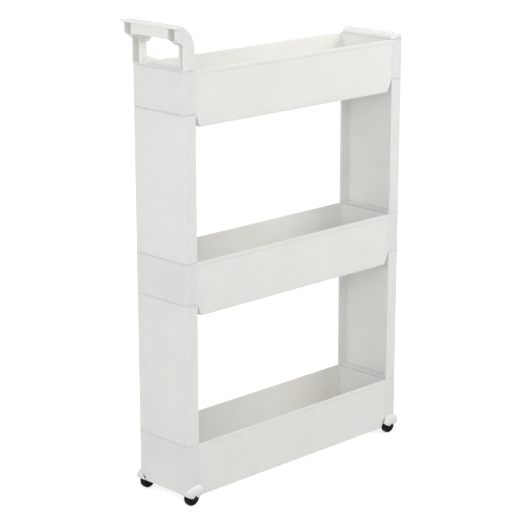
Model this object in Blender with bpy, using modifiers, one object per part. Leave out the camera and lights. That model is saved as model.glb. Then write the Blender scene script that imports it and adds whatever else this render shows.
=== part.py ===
"""Rolling pantry cart: three narrow trays stacked on four end panels, with a handle and four casters.

Metres, +Z up, floor at z = 0. The cart is long along Y and narrow along X, and the handle is at the
-Y end. Every moulding plugs into its neighbour by a hollow tongue in a hollow end block. A place near
an end is given by its depth, the distance in from that end's outer face.
"""
import math

import bmesh
import bpy
from mathutils import Matrix, Vector

# Driving dimensions
WIDTH = 0.110           # body across X
LENGTH = 0.460          # body along Y
PITCH = 0.280           # from one tray's rim to the next one's
TRAY_HEIGHT = 0.0815    # rim to the underside of a basin
BLOCK_HEIGHT = 0.062    # rim to the underside of an end block
END_DEPTH = 0.022       # end blocks and end panels, along Y
UNDERSIDE = 0.0135      # height of the bottom tray's underside above the floor
HANDLE_HEIGHT = 0.0645  # above the top tray's rim
WHEEL_RADIUS = 0.013

# Walls and fits
WALL = 0.0022           # trays, handle, cap and caster housings
PANEL_WALL = 0.0030     # end panels
GAP = 0.0003            # between mouldings that touch
TONGUE_INSET = WALL + GAP
TONGUE_WALL = 0.0018
TONGUE_REACH = 0.012    # how far a tongue stands in its pocket
TONGUE_ROOT = 0.008     # how far it is joined to its own moulding
PAST = 0.010            # how far a cutter runs past what it cuts

# Trays
SIDE_RECESS = 0.0008    # long walls stand back from the end blocks
LIP_HEIGHT = 0.0050
CHAMFER_START = 0.0223  # depth of the basin's end just under the end block
CHAMFER_END = 0.0310    # depth of the basin's end at its underside
WEB_TOP = 0.028         # under the rim, the plate across the inside of an end block
WEB = 0.0020
SKIRT_WALL = 0.0020     # the bottom tray's end walls under its end blocks
SKIRT_LIFT = 0.0028     # these end walls stop short of the basin's underside

# Handle, with depths behind the body's front face and heights above the rim
LIP_REACH = 0.0185      # thin top plate
BAR_REACH = 0.0172      # crossbar
HOOK_REACH = 0.0146     # side plates
HOOK_LOW = 0.0367
HOOK_HIGH = 0.0468
BACK_DEPTH = 0.0209
CURVE_CENTRE = (-0.0090, 0.0290)
CURVE_TOP = 0.0640
CURVE_STEPS = 10
TOP_PLATE = 0.0027
TOP_PLATE_SIDE = 0.0046  # how far the top plate stands out past each side
TOP_PLATE_TAPER = 0.0100  # reach in front of the body from which its sides draw in again
LEDGE_REACH = 0.0070    # a rib across each side's channel, under the pocket beside the crossbar
LEDGE_BACK = 0.0165
LEDGE_LOW = 0.0415
LEDGE_HIGH = 0.0440
BAR_HALF = 0.0400
HOLE_HALF = 0.0415
CHEEK_HALF = 0.0437
HOLE_LOW = 0.0100
HOLE_HIGH = 0.0390
SCOOP = ((0.008, 0.0045), (0.015, 0.0080))  # the hole's floor rises towards its back edge

# Rear cap, with depths in front of the body's rear face and heights above the rim
CAP_HEIGHT = 0.0088
CAP_CREST = 0.0120      # depth of the highest line
CAP_SWEEP = 0.0220      # the side rims sweep up from this depth
CAP_BACK = 0.0050       # drop from the crest to the rear face, in a quarter ellipse
CAP_RIM_CREST = CAP_CREST / 2  # depth of the highest line on the side rims
CAP_FULLNESS = 0.7      # below 1 the inner wall stays steep for longer before it rounds over
CAP_STEPS = 6

# Casters
FOOT_FLARE = 0.0058     # the housing's lower edge stands out past each long side
FOOT_REACH = 0.0048     # and past the ends
FOOT_WALL = 0.0016
FOOT_LOW = 0.0133
FOOT_LEVELS = 5
FOOT_INNER = 0.0400     # inner cheek, from the cart's middle plane
FOOT_CORNER_LOW = 0.0185  # the housing's visible front edge rises from here
FOOT_CORNER_HIGH = 0.0300  # to here at the corner
LIP_CURVE = 0.0240      # radius of the lower edge in side view
LIP_STEPS = 6
WHEEL_WIDTH = 0.0075
WHEEL_X = 0.0500
WHEEL_DEPTH = 0.0107
WHEEL_EDGE = 0.0012
WHEEL_EASE = WHEEL_EDGE / 3
WHEEL_CLEARANCE = 0.0015
WELL_SHOULDER = 0.0195  # up to here the wheel's room in the housing is at its widest
HUB_RADIUS = 0.0050
HUB_WIDTH = 0.0110
AXLE_RADIUS = 0.0031
BORE_RADIUS = AXLE_RADIUS + GAP
AXLE_SPAN = (0.0405, 0.0590)
AXLE_BEVEL = 0.0004
NECK = 0.9              # half width of a seat's mouth, as a share of its radius
SEAT_STEPS = 14
TURNED_STEPS = 24

# The handle stands out further than the rear housings, and the origin is under the middle of it all.
CENTRE_Y = (LIP_REACH - FOOT_REACH) / 2
HALF_WIDTH = WIDTH / 2
RIMS = [UNDERSIDE + TRAY_HEIGHT + PITCH * level for level in range(3)]
FRONT, REAR = -1, 1

WHITE = (0.80, 0.79, 0.76)
PANEL_WHITE = (0.80, 0.80, 0.78)
BLACK = (0.012, 0.012, 0.013)


def clear_scene():
    for obj in list(bpy.data.objects):
        bpy.data.objects.remove(obj, do_unlink=True)


def new_collection(name):
    collection = bpy.data.collections.new(name)
    bpy.context.scene.collection.children.link(collection)
    return collection


clear_scene()
PARTS = new_collection("rolling_pantry_cart")
CUTTERS = new_collection("cutters")


def from_end(end, depth):
    """The Y of a point at this depth behind the outer face of the front or rear end."""
    return CENTRE_Y + end * (LENGTH / 2 - depth)


def block(name, xs, ys, zs):
    """A box between two coordinates along each axis, in either order."""
    middle = Vector([(a + b) / 2 for a, b in (xs, ys, zs)])
    size = [abs(b - a) for a, b in (xs, ys, zs)]
    bm = bmesh.new()
    bmesh.ops.create_cube(bm, size=1.0, matrix=Matrix.Translation(middle) @ Matrix.Diagonal((*size, 1.0)))
    mesh = bpy.data.meshes.new(name)
    bm.to_mesh(mesh)
    bm.free()
    obj = bpy.data.objects.new(name, mesh)
    PARTS.objects.link(obj)
    return obj


def extrusion(name, outline, low, high, along):
    """A flat outline drawn out between two coordinates along X (outline in Y, Z), Y (X, Z) or Z (X, Y)."""
    curve = bpy.data.curves.new(name, "CURVE")
    curve.dimensions = "2D"
    curve.fill_mode = "BOTH"
    curve.extrude = abs(high - low) / 2
    spline = curve.splines.new("POLY")
    spline.points.add(len(outline) - 1)
    for point, (a, b) in zip(spline.points, outline):
        point.co = (a, b, 0.0, 1.0)
    spline.use_cyclic_u = True
    flat = bpy.data.objects.new(name + "_outline", curve)
    PARTS.objects.link(flat)
    axes = {
        "X": Matrix(((0, 0, 1, 0), (1, 0, 0, 0), (0, 1, 0, 0), (0, 0, 0, 1))),
        "Y": Matrix(((1, 0, 0, 0), (0, 0, -1, 0), (0, 1, 0, 0), (0, 0, 0, 1))),
        "Z": Matrix.Identity(4),
    }
    middle = Vector([(low + high) / 2 if along == axis else 0.0 for axis in "XYZ"])
    flat.matrix_world = Matrix.Translation(middle) @ axes[along]
    bpy.context.view_layer.update()
    graph = bpy.context.evaluated_depsgraph_get()
    mesh = bpy.data.meshes.new_from_object(flat.evaluated_get(graph))
    bm = bmesh.new()
    bm.from_mesh(mesh)
    bmesh.ops.remove_doubles(bm, verts=bm.verts, dist=0.00001)
    bm.to_mesh(mesh)
    bm.free()
    obj = bpy.data.objects.new(name, mesh)
    PARTS.objects.link(obj)
    obj.matrix_world = flat.matrix_world.copy()
    bpy.data.objects.remove(flat, do_unlink=True)
    return obj


def combine(target, tool, operation):
    """Joins the tool to the target, or cuts it away, and keeps the tool as a hidden guide."""
    modifier = target.modifiers.new(tool.name, "BOOLEAN")
    modifier.operation = operation
    modifier.solver = "EXACT"
    modifier.object = tool
    PARTS.objects.unlink(tool)
    CUTTERS.objects.link(tool)
    tool.hide_render = True
    tool.display_type = "WIRE"


def join(target, *tools):
    for tool in tools:
        combine(target, tool, "UNION")


def cut(target, *tools):
    for tool in tools:
        combine(target, tool, "DIFFERENCE")


def finish(obj, colour, roughness):
    """Gives a sub-part its own plastic."""
    material = bpy.data.materials.new(obj.name)
    material.use_nodes = True
    shader = material.node_tree.nodes["Principled BSDF"]
    shader.inputs["Base Color"].default_value = (*colour, 1.0)
    shader.inputs["Roughness"].default_value = roughness
    shader.inputs["Metallic"].default_value = 0.0
    obj.data.materials.append(material)
    return obj


def turned(name, profile, centre):
    """A profile of (radius, distance along the axle) turned about an axle that runs along X."""
    closed = profile[0][0] > 0.0
    mesh = bpy.data.meshes.new(name)
    points = [(radius, 0.0, along) for radius, along in profile]
    edges = [(i, i + 1) for i in range(len(points) - 1)]
    if closed:
        edges.append((len(points) - 1, 0))
    mesh.from_pydata(points, edges, [])
    obj = bpy.data.objects.new(name, mesh)
    PARTS.objects.link(obj)
    obj.location = centre
    obj.rotation_euler = (0.0, math.pi / 2, 0.0)
    screw = obj.modifiers.new("turn", "SCREW")
    screw.steps = TURNED_STEPS
    screw.render_steps = TURNED_STEPS
    screw.use_merge_vertices = True
    screw.merge_threshold = 0.00001
    screw.use_smooth_shade = True
    return obj


def mirrored_ends(points):
    """A Y, Z outline from (depth, z) points at the front, repeated in reverse at the rear."""
    front = [(from_end(FRONT, depth), z) for depth, z in points]
    rear = [(from_end(REAR, depth), z) for depth, z in reversed(points)]
    return front + rear


def ring(name, end, inset, wall, zs):
    """A rectangular tube with vertical walls, inside an end block's outline."""
    inner = inset + wall
    outer_x = HALF_WIDTH - inset
    inner_x = HALF_WIDTH - inner
    tube = block(name, (-outer_x, outer_x), (from_end(end, inset), from_end(end, END_DEPTH - inset)), zs)
    hole_ys = (from_end(end, inner), from_end(end, END_DEPTH - inner))
    return tube, block(name + "_hollow", (-inner_x, inner_x), hole_ys, (zs[0] - PAST, zs[1]))


# Trays

def tray(name, rim, with_skirts):
    """A basin between two hollow end blocks. The bottom tray's ends run down to the basin's underside."""
    block_low = rim - BLOCK_HEIGHT
    low = rim - TRAY_HEIGHT
    end_face = [(0.0, rim), (0.0, block_low)]
    if with_skirts:
        skirt_low = low + SKIRT_LIFT
        end_face = [(0.0, rim), (0.0, skirt_low), (SKIRT_WALL, skirt_low), (SKIRT_WALL, block_low)]
    shell = mirrored_ends(end_face + [(CHAMFER_START, block_low), (CHAMFER_END, low)])
    body = extrusion(name, shell, -HALF_WIDTH, HALF_WIDTH, "X")

    wall_x = HALF_WIDTH - SIDE_RECESS
    for side in (-1, 1):
        xs = (side * wall_x, side * (HALF_WIDTH + PAST))
        ys = (from_end(FRONT, END_DEPTH), from_end(REAR, END_DEPTH))
        cut(body, block(name + "_recess", xs, ys, (low - PAST, rim - LIP_HEIGHT)))
    slope = WALL / 2
    hollow = mirrored_ends([
        (END_DEPTH, rim + PAST),
        (END_DEPTH, block_low + 2 * slope),
        (CHAMFER_START + WALL, block_low - slope),
        (CHAMFER_END + slope, low + WALL),
    ])
    inner_x = wall_x - WALL
    cut(body, extrusion(name + "_basin", hollow, -inner_x, inner_x, "X"))
    pocket_x = (WALL - HALF_WIDTH, HALF_WIDTH - WALL)
    for end in (FRONT, REAR):
        ys = (from_end(end, WALL), from_end(end, END_DEPTH - WALL))
        cut(body, block(name + "_socket", pocket_x, ys, (rim - WEB_TOP, rim + PAST)))
        cut(body, block(name + "_underside", pocket_x, ys, (low - PAST, rim - WEB_TOP - WEB)))
        if with_skirts:
            for side in (-1, 1):
                cut(body, corner_notch(name + "_notch", side, end, GAP))
    return finish(body, WHITE, 0.35)


def corner_notch(name, side, end, gap):
    """The corner that a caster housing fills: under the end block and out of the end wall."""
    inner = FOOT_INNER - gap
    outer = HALF_WIDTH + PAST
    low = UNDERSIDE - PAST
    rise = (FOOT_CORNER_HIGH - FOOT_CORNER_LOW) / (HALF_WIDTH - FOOT_INNER)
    outer_z = FOOT_CORNER_LOW + gap + rise * (outer - inner)
    points = [(inner, low), (inner, FOOT_CORNER_LOW + gap), (outer, outer_z), (outer, low)]
    outline = [(side * x, z) for x, z in points]
    ys = (from_end(end, -PAST), from_end(end, WALL + gap))
    return extrusion(name, outline, *sorted(ys), "Y")


# End panels

def channel_outline(end, inset, wall):
    """A channel that is open towards the cart's middle, in X and Y."""
    outer_x = HALF_WIDTH - inset
    inner_x = outer_x - wall
    outer_y = from_end(end, inset)
    web_y = from_end(end, inset + wall)
    open_y = from_end(end, END_DEPTH - inset)
    right = [(outer_x, outer_y), (outer_x, open_y), (inner_x, open_y), (inner_x, web_y)]
    return right + [(-x, y) for x, y in reversed(right)]


def panel(name, end, low_rim, high_rim):
    low = low_rim + GAP
    high = high_rim - BLOCK_HEIGHT - GAP
    body = extrusion(name, channel_outline(end, 0.0, PANEL_WALL), low, high, "Z")
    tongue = channel_outline(end, TONGUE_INSET, TONGUE_WALL)
    join(
        body,
        extrusion(name + "_low_tongue", tongue, low - TONGUE_REACH, low + TONGUE_ROOT, "Z"),
        extrusion(name + "_high_tongue", tongue, high - TONGUE_ROOT, high + TONGUE_REACH, "Z"),
    )
    return finish(body, PANEL_WHITE, 0.38)


# Handle

def handle_curve(inset):
    """The quarter ellipse from the top of the handle down its back, as (depth, height above the rim)."""
    depth, height = CURVE_CENTRE
    across = BACK_DEPTH - depth - inset
    up = CURVE_TOP - height - inset
    angles = [math.pi / 2 * (1 - step / CURVE_STEPS) for step in range(CURVE_STEPS + 1)]
    return [(depth + across * math.cos(a), height + up * math.sin(a)) for a in angles]


def handle_outline(points, rim):
    """A Y, Z outline from (depth, height above the rim) points at the front."""
    return [(from_end(FRONT, depth), rim + height) for depth, height in points]


def handle(name, rim):
    """A shell whose sides are channels open to the front, round a tunnel for the hand."""
    profile = [(0.0, GAP), (0.0, HOOK_LOW), (-HOOK_REACH, HOOK_HIGH), (-HOOK_REACH, CURVE_TOP - WALL)]
    profile += handle_curve(0.0) + [(BACK_DEPTH, GAP)]
    body = extrusion(name, handle_outline(profile, rim), -HALF_WIDTH, HALF_WIDTH, "X")

    bar_ys = (from_end(FRONT, -BAR_REACH), from_end(FRONT, CURVE_CENTRE[0]))
    bar_zs = (rim + HOOK_HIGH, rim + CURVE_TOP - WALL / 2)
    plate_x = HALF_WIDTH + TOP_PLATE_SIDE
    plate_side = [(plate_x, -LIP_REACH), (plate_x, -TOP_PLATE_TAPER), (HALF_WIDTH - WALL, -WALL)]
    plate = [(x, from_end(FRONT, depth)) for x, depth in plate_side]
    plate += [(-x, y) for x, y in reversed(plate)]
    plate_high = rim + HANDLE_HEIGHT
    join(
        body,
        block(name + "_bar", (-BAR_HALF, BAR_HALF), bar_ys, bar_zs),
        extrusion(name + "_top_plate", plate, plate_high - TOP_PLATE, plate_high, "Z"),
    )
    plug, hollow = ring(name + "_plug", FRONT, TONGUE_INSET, TONGUE_WALL, (rim - TONGUE_REACH, rim + WALL))
    cut(plug, hollow)
    join(body, plug)

    open_front = -LIP_REACH - PAST
    channel = [(open_front, WALL), (BACK_DEPTH - WALL, WALL)] + handle_curve(WALL)[::-1]
    channel += [(open_front, CURVE_TOP - WALL)]
    for side in (-1, 1):
        xs = sorted((side * CHEEK_HALF, side * (HALF_WIDTH - WALL)))
        cut(body, extrusion(name + "_channel", handle_outline(channel, rim), *xs, "X"))
        pocket_xs = (side * BAR_HALF, side * (HALF_WIDTH - WALL))
        pocket_ys = (from_end(FRONT, open_front), from_end(FRONT, 0.0))
        cut(body, block(name + "_pocket", pocket_xs, pocket_ys, (rim + LEDGE_HIGH, rim + CURVE_TOP - WALL)))
        ledge_xs = (side * (CHEEK_HALF - WALL / 2), side * (HALF_WIDTH - WALL / 2))
        ledge_ys = (from_end(FRONT, -LEDGE_REACH), from_end(FRONT, LEDGE_BACK))
        join(body, block(name + "_ledge", ledge_xs, ledge_ys, (rim + LEDGE_LOW, rim + LEDGE_HIGH)))
    past_back = BACK_DEPTH + PAST
    tunnel = [
        (open_front, WALL), (0.0, WALL), *SCOOP, (BACK_DEPTH, HOLE_LOW),
        (past_back, HOLE_LOW), (past_back, HOLE_HIGH), (0.0, HOLE_HIGH), (-BAR_REACH, HOOK_HIGH),
        (open_front, HOOK_HIGH),
    ]
    cut(body, extrusion(name + "_tunnel", handle_outline(tunnel, rim), -HOLE_HALF, HOLE_HALF, "X"))
    bar_inside = WALL - BAR_REACH
    grip_low = HOLE_HIGH - WALL
    grip = [(bar_inside, grip_low), (bar_inside, CURVE_TOP - WALL)]
    grip += [(depth, height) for depth, height in handle_curve(WALL) if height > grip_low]
    grip += [(BACK_DEPTH - WALL, grip_low)]
    grip_x = BAR_HALF - WALL
    cut(body, extrusion(name + "_grip", handle_outline(grip, rim), -grip_x, grip_x, "X"))
    return finish(body, WHITE, 0.33)


# Rear cap

def cap_back():
    """The quarter ellipse from the crest down to the rear face, as (depth, height above the rim)."""
    angles = [math.pi / 2 * (1 - step / CAP_STEPS) for step in range(CAP_STEPS + 1)]
    low = CAP_HEIGHT - CAP_BACK
    return [(CAP_CREST * (1 - math.cos(a)), low + CAP_BACK * math.sin(a)) for a in angles] + [(0.0, GAP)]


def rear_cap(name, rim):
    """A hollow lid: its inner wall rounds over to a crest, and its side rims sweep up more gently."""
    wall = [(END_DEPTH, GAP)]
    sweep = [(CAP_SWEEP, GAP)]
    for step in range(1, CAP_STEPS + 1):
        t = step / CAP_STEPS
        a = math.pi / 2 * t
        depth = CAP_CREST + (END_DEPTH - CAP_CREST) * math.cos(a)
        wall.append((depth, CAP_HEIGHT * math.sin(a) ** CAP_FULLNESS))
        depth = CAP_SWEEP + (CAP_RIM_CREST - CAP_SWEEP) * t
        sweep.append((depth, CAP_HEIGHT * (1 - math.cos(math.pi * t)) / 2))
    back = cap_back()
    body = cap_profile(name, wall + back[1:], HALF_WIDTH - WALL, rim)
    rims = sweep + [point for point in back if point[0] < CAP_RIM_CREST]
    join(body, cap_profile(name + "_rims", rims, HALF_WIDTH, rim))
    plug, hollow = ring(name + "_plug", REAR, TONGUE_INSET, TONGUE_WALL, (rim - TONGUE_REACH, rim + 2 * GAP))
    join(body, plug)
    cut(body, hollow)
    return finish(body, WHITE, 0.35)


def cap_profile(name, points, half_width, rim):
    outline = [(from_end(REAR, depth), rim + height) for depth, height in points]
    return extrusion(name, outline, -half_width, half_width, "X")


# Casters

def foot_inner_depth(z):
    """Depth of the housing's inner side, which follows the basin's sloping end."""
    share = (RIMS[0] - BLOCK_HEIGHT - z) / (TRAY_HEIGHT - BLOCK_HEIGHT)
    return CHAMFER_START + (CHAMFER_END - CHAMFER_START) * share - 2 * GAP


def foot_section(bm, side, end, z):
    """One level of a caster housing: its outer and end faces lean out towards the floor."""
    top = RIMS[0] - BLOCK_HEIGHT - GAP
    t = (top - z) / (top - FOOT_LOW)
    outer_x = HALF_WIDTH + FOOT_FLARE * math.sin(math.pi / 2 * t)
    face = -FOOT_REACH * math.sin(math.pi / 2 * t)
    inner = foot_inner_depth(z)
    corners = ((FOOT_INNER, face), (outer_x, face), (outer_x, inner), (FOOT_INNER, inner))
    return [bm.verts.new((side * x, from_end(end, depth), z)) for x, depth in corners]


def foot_body(name, side, end):
    """The housing's outer form, a loft from the end block down to its flared lower edge."""
    top = RIMS[0] - BLOCK_HEIGHT - GAP
    bm = bmesh.new()
    heights = [top + (FOOT_LOW - top) * level / (FOOT_LEVELS - 1) for level in range(FOOT_LEVELS)]
    sections = [foot_section(bm, side, end, z) for z in heights]
    for upper, lower in zip(sections, sections[1:]):
        for i in range(4):
            j = (i + 1) % 4
            bm.faces.new((upper[i], upper[j], lower[j], lower[i]))
    bm.faces.new(sections[0])
    bm.faces.new(sections[-1])
    bmesh.ops.recalc_face_normals(bm, faces=bm.faces)
    mesh = bpy.data.meshes.new(name)
    bm.to_mesh(mesh)
    bm.free()
    obj = bpy.data.objects.new(name, mesh)
    PARTS.objects.link(obj)
    return obj


def above_notch(name, side, end):
    """What stands in front of a caster housing above its visible corner: the bottom tray's end wall."""
    inner = FOOT_INNER - PAST
    outer = HALF_WIDTH + FOOT_FLARE + PAST
    rise = (FOOT_CORNER_HIGH - FOOT_CORNER_LOW) / (HALF_WIDTH - FOOT_INNER)
    high = RIMS[0]
    points = [
        (inner, FOOT_CORNER_LOW - rise * (FOOT_INNER - inner)),
        (outer, FOOT_CORNER_LOW + rise * (outer - FOOT_INNER)),
        (outer, high),
        (inner, high),
    ]
    outline = [(side * x, z) for x, z in points]
    return extrusion(name, outline, *sorted((from_end(end, -PAST), from_end(end, TONGUE_INSET))), "Y")


def keyhole(end):
    """The axle's seat in a fork cheek, open to below through a narrower neck, in Y and Z."""
    neck = NECK * BORE_RADIUS
    lean = math.asin(NECK)
    middle = from_end(end, WHEEL_DEPTH)
    seat = []
    for step in range(SEAT_STEPS + 1):
        angle = -math.pi / 2 + lean + (2 * math.pi - 2 * lean) * step / SEAT_STEPS
        across = BORE_RADIUS * math.cos(angle)
        seat.append((middle + across, WHEEL_RADIUS + BORE_RADIUS * math.sin(angle)))
    low = FOOT_LOW - PAST
    return seat + [(middle - neck, low), (middle + neck, low)]


def lip_cutter(name, xs, end):
    """What trims the housing's lower edge to an arc that is lowest under the axle."""
    low = FOOT_LOW - PAST
    span = CHAMFER_END - WHEEL_DEPTH
    arc = []
    for step in range(-LIP_STEPS, LIP_STEPS + 1):
        across = span * step / LIP_STEPS
        arc.append((WHEEL_DEPTH + across, FOOT_LOW + LIP_CURVE - math.sqrt(LIP_CURVE ** 2 - across ** 2)))
    points = [(arc[0][0], low)] + arc + [(arc[-1][0], low)]
    return extrusion(name, [(from_end(end, depth), z) for depth, z in points], *xs, "X")


def caster_housing(name, side, end):
    """A fork under a flared hood: two cheeks, a roof and a face, open below and towards the basin."""
    body = foot_body(name, side, end)
    top = RIMS[0] - BLOCK_HEIGHT - GAP
    cheek_x = side * (FOOT_INNER + WALL)
    plug_x = (cheek_x, side * (HALF_WIDTH - TONGUE_INSET))
    plug_ys = (from_end(end, TONGUE_INSET), from_end(end, END_DEPTH - TONGUE_INSET))
    join(body, block(name + "_plug", plug_x, plug_ys, (top - WALL, top + TONGUE_REACH)))
    inner = TONGUE_INSET + TONGUE_WALL
    hollow_x = (plug_x[0] + side * TONGUE_WALL, plug_x[1] - side * TONGUE_WALL)
    hollow_ys = (from_end(end, inner), from_end(end, END_DEPTH - inner))
    cut(body, block(name + "_plug_hollow", hollow_x, hollow_ys, (top, top + TONGUE_REACH + PAST)))

    low = FOOT_LOW - PAST
    roof = 2 * WHEEL_RADIUS + WHEEL_CLEARANCE
    front = FOOT_WALL - FOOT_REACH
    behind = CHAMFER_END + PAST
    well = [(front, low), (front, WELL_SHOULDER), (WALL, roof), (behind, roof), (behind, low)]
    outline = [(from_end(end, depth), z) for depth, z in well]
    cut(body, extrusion(name + "_well", outline, *sorted((cheek_x, side * HALF_WIDTH)), "X"))
    flare_x = (side * (HALF_WIDTH - FOOT_WALL), side * (HALF_WIDTH + FOOT_FLARE - WALL))
    flare_ys = (from_end(end, front), from_end(end, behind))
    cut(body, block(name + "_flare", flare_x, flare_ys, (low, WELL_SHOULDER)))
    mouth_x = (side * (FOOT_INNER - PAST), cheek_x)
    mouth_ys = (from_end(end, front), from_end(end, 0.0))
    cut(body, block(name + "_mouth", mouth_x, mouth_ys, (low, FOOT_CORNER_LOW)))

    wide = sorted((side * (FOOT_INNER - PAST), side * (HALF_WIDTH + FOOT_FLARE + PAST)))
    cut(body, extrusion(name + "_keyhole", keyhole(end), *wide, "X"))
    cut(body, lip_cutter(name + "_lip", wide, end))
    cut(body, above_notch(name + "_step", side, end))
    return finish(body, WHITE, 0.35)


def wheel(name, side, end):
    """A tyre with rounded shoulders on a longer hub, bored for the axle."""
    half = WHEEL_WIDTH / 2
    hub = HUB_WIDTH / 2
    side_profile = [
        (BORE_RADIUS, hub), (HUB_RADIUS, hub), (HUB_RADIUS, half), (WHEEL_RADIUS - WHEEL_EDGE, half),
        (WHEEL_RADIUS - WHEEL_EASE, half - WHEEL_EASE), (WHEEL_RADIUS, half - WHEEL_EDGE),
    ]
    profile = side_profile + [(radius, -along) for radius, along in reversed(side_profile)]
    obj = turned(name, profile, (side * WHEEL_X, from_end(end, WHEEL_DEPTH), WHEEL_RADIUS))
    return finish(obj, BLACK, 0.45)


def axle(name, side, end):
    inner, outer = AXLE_SPAN
    half = (outer - inner) / 2
    profile = [
        (0.0, half), (AXLE_RADIUS - AXLE_BEVEL, half), (AXLE_RADIUS, half - AXLE_BEVEL),
        (AXLE_RADIUS, AXLE_BEVEL - half), (AXLE_RADIUS - AXLE_BEVEL, -half), (0.0, -half),
    ]
    obj = turned(name, profile, (side * (inner + outer) / 2, from_end(end, WHEEL_DEPTH), WHEEL_RADIUS))
    return finish(obj, BLACK, 0.4)


def build():
    for level, rim in zip(("bottom", "middle", "top"), RIMS):
        tray("tray_" + level, rim, with_skirts=level == "bottom")
    for end, where in ((FRONT, "front"), (REAR, "rear")):
        panel("panel_" + where + "_lower", end, RIMS[0], RIMS[1])
        panel("panel_" + where + "_upper", end, RIMS[1], RIMS[2])
    handle("handle", RIMS[2])
    rear_cap("rear_cap", RIMS[2])
    for end, where in ((FRONT, "front"), (REAR, "rear")):
        for side, hand in ((-1, "left"), (1, "right")):
            corner = where + "_" + hand
            caster_housing("caster_housing_" + corner, side, end)
            wheel("wheel_" + corner, side, end)
            axle("axle_" + corner, side, end)


build()
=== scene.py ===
"""Looks of the rolling pantry cart: mouldings, plastics, floor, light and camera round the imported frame."""
import math

import bmesh
import bpy
from mathutils import Matrix, Vector


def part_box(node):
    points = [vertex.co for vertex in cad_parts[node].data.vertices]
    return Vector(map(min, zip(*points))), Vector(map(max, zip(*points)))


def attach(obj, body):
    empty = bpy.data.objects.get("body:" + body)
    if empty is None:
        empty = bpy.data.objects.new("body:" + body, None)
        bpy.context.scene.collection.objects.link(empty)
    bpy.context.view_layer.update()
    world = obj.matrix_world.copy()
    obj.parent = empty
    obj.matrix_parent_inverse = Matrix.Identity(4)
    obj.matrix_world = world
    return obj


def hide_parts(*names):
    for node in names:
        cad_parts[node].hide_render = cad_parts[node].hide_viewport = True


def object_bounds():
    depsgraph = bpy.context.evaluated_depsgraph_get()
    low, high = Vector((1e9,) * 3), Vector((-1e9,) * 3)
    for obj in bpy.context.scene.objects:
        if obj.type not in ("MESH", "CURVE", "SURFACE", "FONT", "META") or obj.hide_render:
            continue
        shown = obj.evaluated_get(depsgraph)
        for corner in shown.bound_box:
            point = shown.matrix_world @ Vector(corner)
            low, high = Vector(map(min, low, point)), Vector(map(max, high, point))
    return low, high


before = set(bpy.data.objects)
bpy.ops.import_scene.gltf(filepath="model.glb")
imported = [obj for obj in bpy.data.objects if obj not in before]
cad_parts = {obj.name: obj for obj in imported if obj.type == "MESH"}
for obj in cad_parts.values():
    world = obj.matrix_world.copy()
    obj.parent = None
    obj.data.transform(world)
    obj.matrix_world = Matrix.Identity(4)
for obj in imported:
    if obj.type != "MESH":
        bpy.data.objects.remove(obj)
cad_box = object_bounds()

LEVELS = ("bottom", "middle", "top")
ENDS = {"front": -1, "rear": 1}
SIDES = {"left": -1, "right": 1}

# The body's faces and the trays' rims, from the frame
BODY_LOW, BODY_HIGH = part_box("tray_top")
HALF_WIDTH = BODY_HIGH.x
RIMS = {level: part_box("tray_" + level)[1].z for level in LEVELS}
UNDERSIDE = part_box("tray_bottom")[0].z

# Sizes that the mouldings share with the frame's design
TRAY_HEIGHT = RIMS["bottom"] - UNDERSIDE
BLOCK_HEIGHT = 0.062
END_DEPTH = 0.022
WALL = 0.0022
PANEL_WALL = 0.0030
GAP = 0.0003
TONGUE_INSET = WALL + GAP
TONGUE_WALL = 0.0018
TONGUE_CORNER = 0.0012
TONGUE_ROOT = 0.008     # how far a panel's tongue reaches back into the panel
PLATE = 0.0020          # thickness of the plates that close a panel's ends
PLATE_SETBACK = 0.0008  # of their open edges
PLATE_LIFT = 0.0002
TINY = 1e-6             # for comparing places
MERGE = 0.000004        # points closer than this are one
PAST = 0.010            # how far a cutter runs past what it cuts

# Rounding
ARC_STEP = math.radians(15)
CORNER_RADIUS = 0.0030  # upright corners of the body
HOOD_CORNER = 0.0050    # the same corners on a caster housing, at its lower edge
BASIN_CORNER = 0.0050   # upright corners inside a basin
BASIN_FLOOR = 0.0040    # where a basin's floor meets its walls
EDGE = 0.0006           # ordinary moulded edges
HANDLE_EDGE = 0.0007
HOUSING_EDGE = 0.0005
WHEEL_EDGE = 0.00015
AXLE_EDGE = 0.0001
RIM_EDGE = 0.0013       # edges of a rim, where hands reach
BEVEL_ANGLE = math.radians(35)

# Trays
SIDE_RECESS = 0.0008
LIP_HEIGHT = 0.0050
RECESS_SLOPE = 0.0010   # a recess has soft edges
RECESS_RADIUS = 0.0020
CHAMFER_START = 0.0223
CHAMFER_END = 0.0310
WEB_TOP = 0.028
WEB = 0.0020
SKIRT_WALL = 0.0020
SKIRT_LIFT = 0.0028

# Handle: depths behind the body's front face, heights above the top rim
HOOK_REACH = 0.0146
HOOK_LOW = 0.0367
HOOK_HIGH = 0.0468
BAR_REACH = 0.0172
BAR_HALF = 0.0400
BAR_CORNER = 0.0045
BACK_DEPTH = 0.0209
CURVE_CENTRE = (-0.0090, 0.0290)
CURVE_TOP = 0.0640
CURVE_STEPS = 20
TOP_PLATE = 0.0027
TOP_PLATE_TAPER = 0.0100
TOP_PLATE_CORNER = 0.0025
TOP_PLATE_TURN = 0.006  # radius where the taper ends
LEDGE_REACH = 0.0070
LEDGE_BACK = 0.0165
LEDGE_LOW = 0.0415
LEDGE_HIGH = 0.0440
CHEEK_SETBACK = 0.0028
HOLE_HALF = 0.0415
CHEEK_HALF = 0.0437
HOLE_LOW = 0.0100
HOLE_HIGH = 0.0390
HOLE_CORNER = 0.0120
SCOOP_MIDDLE = 0.60     # height of the scooped floor's back edge in the middle, against the sides
SCOOP_POWER = 1.7       # the scooped floor rises late, towards the back
HOLE_FLARE = 0.0060     # each side of the hole stands this much further out at the back
FLARE_CORNER = 0.0060
FLARE_FULL = 0.98       # the flare's outer face stops just short of the back

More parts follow.
